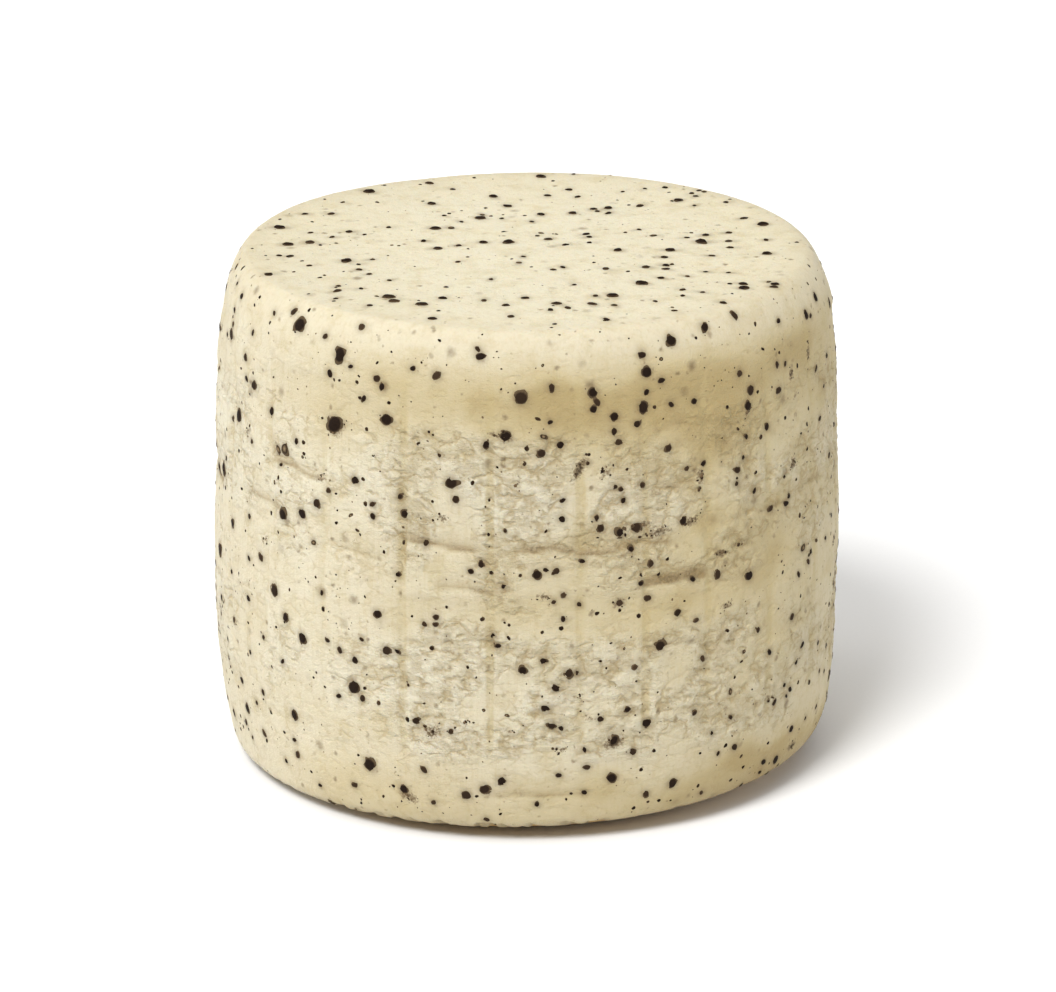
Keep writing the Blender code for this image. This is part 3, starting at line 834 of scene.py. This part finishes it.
def ball_points(subdivisions):
    """The points and faces of a ball of radius 1."""
    shape = bmesh.new()
    bmesh.ops.create_icosphere(shape, subdivisions=subdivisions, radius=1.0)
    points = np.array([list(v.co) for v in shape.verts])
    faces = [tuple(v.index for v in face.verts) for face in shape.faces]
    shape.free()
    return points, faces


def pepper_piece(ball, draw):
    """One uneven lump with a few broken sides, from a ball of radius 1."""
    shift = Vector([draw.uniform(0.0, 50.0) for _ in range(3)])
    swell = np.ones(len(ball))
    for closeness, depth in PIECE_LUMPS:
        swell += depth * np.array([noise.noise(Vector(p) * closeness + shift) for p in ball])
    lump = ball * swell[:, None]
    for _ in range(draw.randint(*BREAKS)):
        turn = draw.uniform(0.0, math.tau)
        side = np.array([math.cos(turn), math.sin(turn), draw.uniform(*BREAK_TILTS)])
        side /= np.linalg.norm(side)
        over = np.clip(lump @ side - draw.uniform(*BREAK_AT), 0.0, None)
        lump = lump - over[:, None] * side
    return lump


def add_pepper(name, grains, material):
    """One mesh of all the pieces of a kind, each sunk in the skin until it stands just proud."""
    subdivisions, proud, swell, stretches, tones_between = KINDS[name]
    ball, ball_faces = ball_points(subdivisions)
    spots = np.array([list(point) for point, _, _ in grains])
    heights, _ = skin(spots)
    lifts = underside_shift(spots)
    draw = drawing(name)
    points, faces, tones, pales, rims = [], [], [], [], []
    for i, (point, outward, size) in enumerate(grains):
        lump = pepper_piece(ball, draw)
        stretch = math.sqrt(draw.uniform(*stretches))
        stands = proud + (TOP_PROUD - proud) * float(ease(*TOP_FACING, outward.z))
        level = 1.0 - 2.0 * stands / PIECE_THICKNESS
        cut = math.sqrt(1.0 - level ** 2)
        half = swell * size / 2 / cut
        scale = Matrix.Diagonal((half * stretch, half / stretch, PIECE_THICKNESS * size / 2))
        turn = Matrix.Rotation(draw.uniform(0.0, math.tau), 3, "Z")
        stand = outward.to_track_quat("Z", "Y").to_matrix()
        depth = (PIECE_THICKNESS / 2 - stands) * size
        middle = point + outward * (float(heights[i]) - depth) + float(lifts[i]) * UP
        place = np.array(stand @ turn @ scale)
        points.append(lump @ place.T + np.array(middle))
        faces += [tuple(v + i * len(ball) for v in face) for face in ball_faces]
        tones += [draw.uniform(*tones_between)] * len(ball)
        pale = draw.random() < PALE_SHARE
        rim = np.hypot(lump[:, 0], lump[:, 1]) / cut
        pales.append(np.clip(1.0 - rim / PALE_REACH, 0.0, 1.0) * (lump[:, 2] > 0) * pale)
        rims.append(rim)
    shares = {"tone": tones, "pale": np.concatenate(pales), "rim": np.concatenate(rims)}
    piece = new_piece(name, np.vstack(points), faces, material, shares)
    return piece


def near_grains(points, grains):
    """For each piece of pepper, the points near it and how far past its edge they lie."""
    for point, _, size in grains:
        near = np.flatnonzero(np.abs(points[:, 2] - point.z) < size / 2 + NEAR_GRAIN)
        away = np.linalg.norm(points[near] - np.array(point), axis=1) - size / 2
        yield near, away


def nearest_stain(points, grains):
    """How stained the skin is at each point by the pieces of pepper near it."""
    stain = np.zeros(len(points))
    for near, away in near_grains(points, grains):
        stain[near] = np.maximum(stain[near], np.exp(-np.clip(away, 0.0, None) / GRAIN_STAIN))
    return stain


def bedded(height, points, grains):
    """The skin's height with its relief pressed level under each piece of pepper."""
    spots = np.array([list(point) for point, _, _ in grains])
    levels, _ = skin(spots)
    pressed = height.copy()
    for level, (near, away) in zip(levels, near_grains(points, grains)):
        pressed[near] += (level - pressed[near]) * ease(BED_REACH, 0.0, away)
    return pressed


def painted_foot_shade(points):
    """Painted shade: how brown the skin is just over the edge of the foot, higher up on the right."""
    line = ease(FOOT_LINE, 0.0, points[:, 2])
    right = ease(FOOT_SHADE, 0.0, points[:, 2]) * within(bearing_of(points), FOOT_SHADE_SIDE)
    return FOOT_LINE_SHARE * line + (1.0 - FOOT_LINE_SHARE) * right


def under_ring_gap_shade(points):
    """Painted shade for the gap under the raised edge: how brown the underside is, in a ring a little
    inside its edge.
    """
    inward = radius_at(0.0) - reach_of(points)
    low = ease(UNDER_BROWN_UP, 0.0, points[:, 2])
    return low * ease(*UNDER_BROWN_ENDS, inward) * ease(*UNDER_BROWN_STARTS, inward)


def add_wheel(material, grains):
    """The wheel's whole skin in one mesh."""
    points, outward, faces = skin_grid()
    height, shares = skin(points)
    height = bedded(height, points, grains)
    pressed = points + outward * height[:, None]
    pressed[:, 2] += underside_shift(points) + chip_rise(points)
    shares["stain"] = nearest_stain(points, grains)
    shares["haze"] = smear_haze(points)
    # Painted shade: a brown ring under the edge, and brown just over the edge of the foot
    shares["under"] = under_ring_gap_shade(points)
    shares["foot"] = painted_foot_shade(points)
    wheel = new_piece("cheese_wheel", pressed, faces, material, shares)
    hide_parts(NODE)
    return wheel


class Nodes:
    """Short calls for building a material's node tree."""

    def __init__(self, name):
        self.material = bpy.data.materials.new(name)
        self.material.use_nodes = True
        self.tree = self.material.node_tree
        self.shader = self.tree.nodes["Principled BSDF"]
        self.place = self.add("ShaderNodeTexCoord", {})["Object"]

    def fill(self, node, inputs):
        """Sets inputs of a node to a value each, or links them."""
        for name, value in inputs.items():
            if isinstance(value, bpy.types.NodeSocket):
                self.tree.links.new(value, node.inputs[name])
            else:
                node.inputs[name].default_value = value

    def add(self, kind, inputs, **settings):
        """The outputs of a new node."""
        node = self.tree.nodes.new(kind)
        for key, value in settings.items():
            setattr(node, key, value)
        self.fill(node, inputs)
        return node.outputs

    def value(self, name):
        return self.add("ShaderNodeAttribute", {}, attribute_name=name)["Fac"]

    def scaled(self, x, y, z, place=None):
        inputs = {"Vector": place or self.place, "Scale": (x, y, z)}
        return self.add("ShaderNodeMapping", inputs)["Vector"]

    def noise(self, size, detail=2.0, rough=0.5, stretch=1.0):
        """Noise with lumps of a size in metres, stretched level by a factor."""
        level = 1.0 / (2.0 * size * stretch)
        place = self.scaled(level, level, 1.0 / (2.0 * size))
        inputs = {"Vector": place, "Scale": 2.0, "Detail": detail, "Roughness": rough}
        return self.add("ShaderNodeTexNoise", inputs)["Fac"]

    def ranged(self, value, low, high, to_low=0.0, to_high=1.0):
        inputs = {"Value": value, "From Min": low, "From Max": high, "To Min": to_low, "To Max": to_high}
        return self.add("ShaderNodeMapRange", inputs, interpolation_type="SMOOTHSTEP")["Result"]

    def maths(self, operation, a, b):
        return self.add("ShaderNodeMath", {0: a, 1: b}, operation=operation)["Value"]

    def times(self, a, b):
        return self.maths("MULTIPLY", a, b)

    def mixed(self, share, a, b):
        return self.add("ShaderNodeMix", {"Factor": share, 6: a, 7: b}, data_type="RGBA")[2]

    def bump(self, height, distance, strength):
        inputs = {"Height": height, "Distance": distance, "Strength": strength}
        return self.add("ShaderNodeBump", inputs)["Normal"]


def rgb(r, g, b):
    """A colour with its alpha."""
    return (r, g, b, 1.0)


def wobbled(n, size):
    """The place of each point, bent by noise with lumps of a size."""
    wobble = n.add("ShaderNodeTexNoise", {"Vector": n.place, "Scale": 1.0 / size})["Color"]
    inputs = {0: wobble, 1: (size,) * 3, 2: n.place}
    return n.add("ShaderNodeVectorMath", inputs, operation="MULTIPLY_ADD")["Vector"]


def plates(n, size, stretch):
    """Lumps of curd of a size: how high they bulge, and how near the seam between them is."""
    place = n.scaled(1.0 / stretch, 1.0 / stretch, 1.0, wobbled(n, 0.8 * size))
    inputs = {"Vector": place, "Scale": 1.0 / size}
    inside = n.add("ShaderNodeTexVoronoi", inputs, feature="DISTANCE_TO_EDGE")["Distance"]
    parted = n.ranged(n.noise(1.4 * size, 2.0), 0.42, 0.58)
    seam = n.times(n.ranged(inside, 0.0, 0.13, 1.0, 0.0), parted)
    sunken = n.times(n.maths("SUBTRACT", n.ranged(inside, 0.0, 0.26), 1.0), parted)
    return n.maths("ADD", sunken, 1.0), seam


def flecks_and_pit_shade(n, size, chosen_from):
    """Blurred brown spots in some cells of a size, for flecks of pepper that lie just under the skin and
    for the painted shade of pits.
    """
    inputs = {"Vector": wobbled(n, FLECK_BEND), "Scale": 1.0 / size}
    cells = n.add("ShaderNodeTexVoronoi", inputs, feature="F1")
    chosen = n.add("ShaderNodeSeparateColor", {"Color": cells["Color"]})["Red"]
    near = n.ranged(cells["Distance"], 0.03, 0.24, 1.0, 0.0)
    return n.times(near, n.ranged(chosen, chosen_from, 1.0))


def cheese_colour(n, marks_here):
    """Cream curd with its top painted paler, yellower where the whey drained and where shade is painted
    on the right and under the shoulder, painted paler on the lit left, with painted shade in its folds,
    seams and pits and at its foot, painted light on its humps, and darker round pepper.
    """
    # Painted light: the top's cream is paler than the side's, partly its own curd and partly the light
    # that falls on the top; the top's outer ring takes the side's darker cream as painted shade
    lit_top_cream, shaded_side_cream = rgb(0.645, 0.59, 0.435), rgb(0.58, 0.519, 0.378)
    pale = rgb(0.65, 0.609, 0.48)
    straw = rgb(0.45, 0.362, 0.182)
    tan = rgb(0.30, 0.216, 0.092)
    umber = rgb(0.22, 0.15, 0.07)
    brown = rgb(0.15, 0.10, 0.048)
    pepper = rgb(0.03, 0.018, 0.01)
    gap_shade_tan = rgb(0.57, 0.375, 0.15)
    whey_and_painted_shade, crease = n.value("whey_and_painted_shade"), n.value("crease")
    creased = n.ranged(crease, 0.15, 0.8)
    crease_browning = n.times(n.times(creased, n.ranged(n.noise(5 * MM, 2.0), 0.5, 0.62)),
                    n.ranged(n.noise(0.5 * MM, 3.0, 0.6), 0.4, 0.6, 0.3, 1.0))
    stripe = n.times(n.ranged(n.value("slot"), 0.05, 0.7),
                     n.ranged(n.noise(6 * MM, 3.0), 0.38, 0.6, 0.45, 1.0))
    torn = n.ranged(n.noise(0.8 * MM, 3.0, 0.6), 0.3, 0.7, -0.22, 0.22)
    smear = n.maths("ADD", n.value("haze"), torn)
    layers = [
        (n.ranged(n.noise(38 * MM, 3.0), 0.35, 0.7), 0.3, pale),
        # Painted light on the curd's humps and on the blocks that stand out, painted shade on the blocks
        # that sink
        (marks_here["humps"], 0.75, pale),
        (n.value("raised"), 0.45, pale),
        (n.value("lowered"), 0.22, straw),
        # Whey stain with painted shade: yellower under the shoulder and on the shaded right, paler on
        # the lit left
        (whey_and_painted_shade, 0.78, straw),
        (n.ranged(n.noise(9 * MM, 4.0, 0.6), 0.48, 0.72), 0.3, straw),
        (n.ranged(n.noise(2.2 * MM, 4.0, 0.65), 0.5, 0.75), 0.22, straw),
        (n.ranged(n.noise(14 * MM, 3.0, 0.6, 0.06), 0.45, 0.75), 0.22, straw),
        (n.ranged(whey_and_painted_shade, 0.8, STAIN_MOST), 0.42, tan),
        (stripe, 0.55, straw),
        # Painted shade in the creases, darkest where they are deepest, then brown in patches along them.
        # Below that, painted shade in the curd's sunk marks, seams and pits
        (creased, 0.65, tan),
        (n.ranged(crease, 0.42, 0.72), 0.4, umber),
        (crease_browning, 0.6, brown),
        (n.ranged(n.value("sunk"), 0.2, 0.9), 0.3, tan),
        (marks_here["seams"], 0.42, tan),
        (marks_here["fine seams"], 0.3, tan),
        (marks_here["pits"], 0.5, brown),
        (n.value("stain"), 0.6, brown),
        (n.ranged(smear, 0.2, 0.65), 0.85, brown),
        (n.ranged(smear, 0.55, 0.95), 0.85, pepper),
    ]
    layers += [(flecks_and_pit_shade(n, size, chosen_from), most, brown) for size, chosen_from, most in FLECKS]
    # Painted shade at the foot's edge, higher up on the right
    layers.append((n.value("foot"), 0.8, brown))
    # Painted shade: a brown ring on the underside that browns the gap under the raised edge
    layers.append((n.value("under"), 0.9, gap_shade_tan))
    colour = n.mixed(n.value("outer"), lit_top_cream, shaded_side_cream)
    for share, most, tint in layers:
        colour = n.mixed(n.times(share, most), colour, tint)
    return colour


def cheese_material():
    """Moist pressed curd, with the marks that are too fine for the mesh."""
    n = Nodes("pressed_curd")
    curd, side = n.value("curd"), n.value("side")
    rough = n.times(n.ranged(curd, 0.0, 0.6, 0.3, 1.0), n.ranged(side, 0.0, 1.0, 0.4, 1.0))
    patches = n.times(rough, n.ranged(n.noise(7 * MM, 2.0), 0.4, 0.6))
    bulge, seam = plates(n, 3.2 * MM, 1.7)
    _, fine_seam = plates(n, 1.3 * MM, 1.5)
    # Painted light and shade that follow the curd's relief: pale humps, tan seams and brown pits. The
    # fine seams and the pits are painted shade with no relief of their own
    marks_here = {
        "humps": n.times(bulge, n.ranged(curd, 0.0, 0.7, 0.15, 1.0)),
        "seams": n.times(seam, rough),
        "fine seams": n.times(fine_seam, patches),
        "pits": n.times(flecks_and_pit_shade(n, *PITS), patches),
    }
    reliefs = (
        (bulge, 0.38 * MM, rough),
        (n.noise(1.4 * MM, 4.0, 0.62, 1.5), 1.02 * MM, rough),
        (n.noise(0.5 * MM, 2.0), 0.2 * MM, n.ranged(side, 0.0, 1.0, 0.6, 1.0)),
    )
    height = 0.0
    for relief, depth, share in reliefs:
        height = n.maths("ADD", n.times(n.times(relief, share), depth / MM), height)
    n.fill(n.shader, {
        "Base Color": cheese_colour(n, marks_here),
        "Roughness": n.ranged(n.noise(5 * MM, 3.0), 0.3, 0.7, 0.55, 0.7),
        "Normal": n.bump(height, MM, 1.0),
        "IOR": 1.42,
        "Specular IOR Level": 0.3,
        "Subsurface Weight": 0.3,
        "Subsurface Radius": (1.0, 0.65, 0.35),
        "Subsurface Scale": 0.5 * MM,
    })
    return n.material


def pepper_material():
    """Dried pepper: brown-black and wrinkled, tan where a broken one shows its inside."""
    n = Nodes("black_pepper")
    black = rgb(0.012, 0.0060, 0.0032)
    brown = rgb(0.036, 0.021, 0.011)
    edge = rgb(0.15, 0.105, 0.058)
    husk = rgb(0.17, 0.115, 0.062)
    tan = rgb(0.27, 0.19, 0.105)
    tone = n.value("tone")
    mottle = n.ranged(n.noise(0.35 * MM, 3.0, 0.6), 0.45, 0.75)
    colour = n.mixed(n.ranged(tone, 0.35, 0.75), black, brown)
    colour = n.mixed(n.ranged(n.value("rim"), 0.68, 1.05, 0.0, 0.6), colour, edge)
    colour = n.mixed(n.times(mottle, 0.4), colour, brown)
    colour = n.mixed(n.ranged(tone, 0.72, 1.0), colour, husk)
    colour = n.mixed(n.value("pale"), colour, tan)
    n.fill(n.shader, {
        "Base Color": colour,
        "Roughness": n.ranged(mottle, 0.0, 1.0, 0.7, 0.9),
        "Specular IOR Level": 0.08,
        "Normal": n.bump(n.noise(0.3 * MM, 3.0, 0.6), 0.15 * MM, 0.6),
    })
    return n.material


def floor_material():
    """White studio paper with the faintest fibre."""
    n = Nodes("studio_floor")
    colour = n.mixed(n.noise(1.2 * MM, 3.0), rgb(0.86, 0.86, 0.86), rgb(0.89, 0.89, 0.89))
    n.fill(n.shader, {"Base Color": colour, "Roughness": 0.9, "Specular IOR Level": 0.0})
    return n.material


def add_floor():
    """A wide plain floor under the wheel."""
    shape = bmesh.new()
    bmesh.ops.create_grid(shape, x_segments=1, y_segments=1, size=FLOOR_HALF)
    mesh = bpy.data.meshes.new("floor")
    shape.to_mesh(mesh)
    shape.free()
    mesh.materials.append(floor_material())
    floor = new_object("floor", mesh)


def away_from(bearing, elevation):
    """The direction from the wheel towards a bearing and an elevation."""
    turn, lift = math.radians(bearing), math.radians(elevation)
    level = math.cos(lift)
    return Vector((math.sin(turn) * level, -math.cos(turn) * level, math.sin(lift)))


def add_lamp(name, bearing, elevation, strength, spread):
    """A soft light from far away that looks spread degrees wide from the wheel."""
    data = bpy.data.lights.new(name, "SUN")
    data.energy = strength
    data.angle = math.radians(spread)
    lamp = new_object(name, data)
    lamp.rotation_euler = away_from(bearing, elevation).to_track_quat("Z", "Y").to_euler()


def add_light():
    """A warm white room and its four soft lamps."""
    world = bpy.data.worlds.new("studio")
    world.use_nodes = True
    background = world.node_tree.nodes["Background"]
    background.inputs["Color"].default_value = rgb(*ROOM_COLOUR)
    background.inputs["Strength"].default_value = ROOM_STRENGTH
    bpy.context.scene.world = world
    for name, values in LAMPS.items():
        add_lamp(name, *values)


def add_camera():
    """The photo's camera, level, a little above the wheel."""
    data = bpy.data.cameras.new("camera")
    data.sensor_width = SENSOR
    data.lens = LENS
    data.clip_start, data.clip_end = CLIP
    camera = new_object("camera", data)
    towards = away_from(0.0, CAMERA_ELEVATION)
    turn = towards.to_track_quat("Z", "Y")
    slide = turn @ Vector((AIM_RIGHT, -AIM_DOWN, 0.0))
    camera.location = AIM_HEIGHT * UP + towards * CAMERA_DISTANCE + slide
    camera.rotation_euler = turn.to_euler()
    bpy.context.scene.camera = camera


def stand_on_origin(wheel, others):
    """Centres the wheel's box over the origin, as the solid's is, and moves the pepper with it."""
    points = np.array([list(v.co) for v in wheel.data.vertices])
    low, high = points.min(axis=0), points.max(axis=0)
    shift = Matrix.Translation((-(low[0] + high[0]) / 2, -(low[1] + high[1]) / 2, -low[2]))
    for piece in (wheel, *others):
        piece.data.transform(shift)


def main():
    """Builds the wheel with its pepper, then the studio and the camera."""
    scene = bpy.context.scene
    scene.view_settings.view_transform = "Standard"
    scene.view_settings.look = "None"
    whole = placed(SIDE_GRAINS, TOP_GRAINS)
    whole += hidden_grains(whole)
    smaller = placed(SMALLER_SIDE_GRAINS, SMALLER_TOP_GRAINS)
    cracked = smaller + scattered(CRACKED_SIZES, whole + smaller, "cracked")
    dust = scattered(DUST_SIZES, whole + cracked, "dust") + smear_pieces()
    larger = [grain for grain in whole + cracked if grain[2] > BEDDED]
    cheese, pepper = cheese_material(), pepper_material()
    wheel = add_wheel(cheese, larger)
    strewn = [add_pepper(name, grains, pepper) for name, grains in zip(KINDS, (whole, cracked, dust))]
    stand_on_origin(wheel, strewn)
    add_floor()
    add_light()
    add_camera()


main()
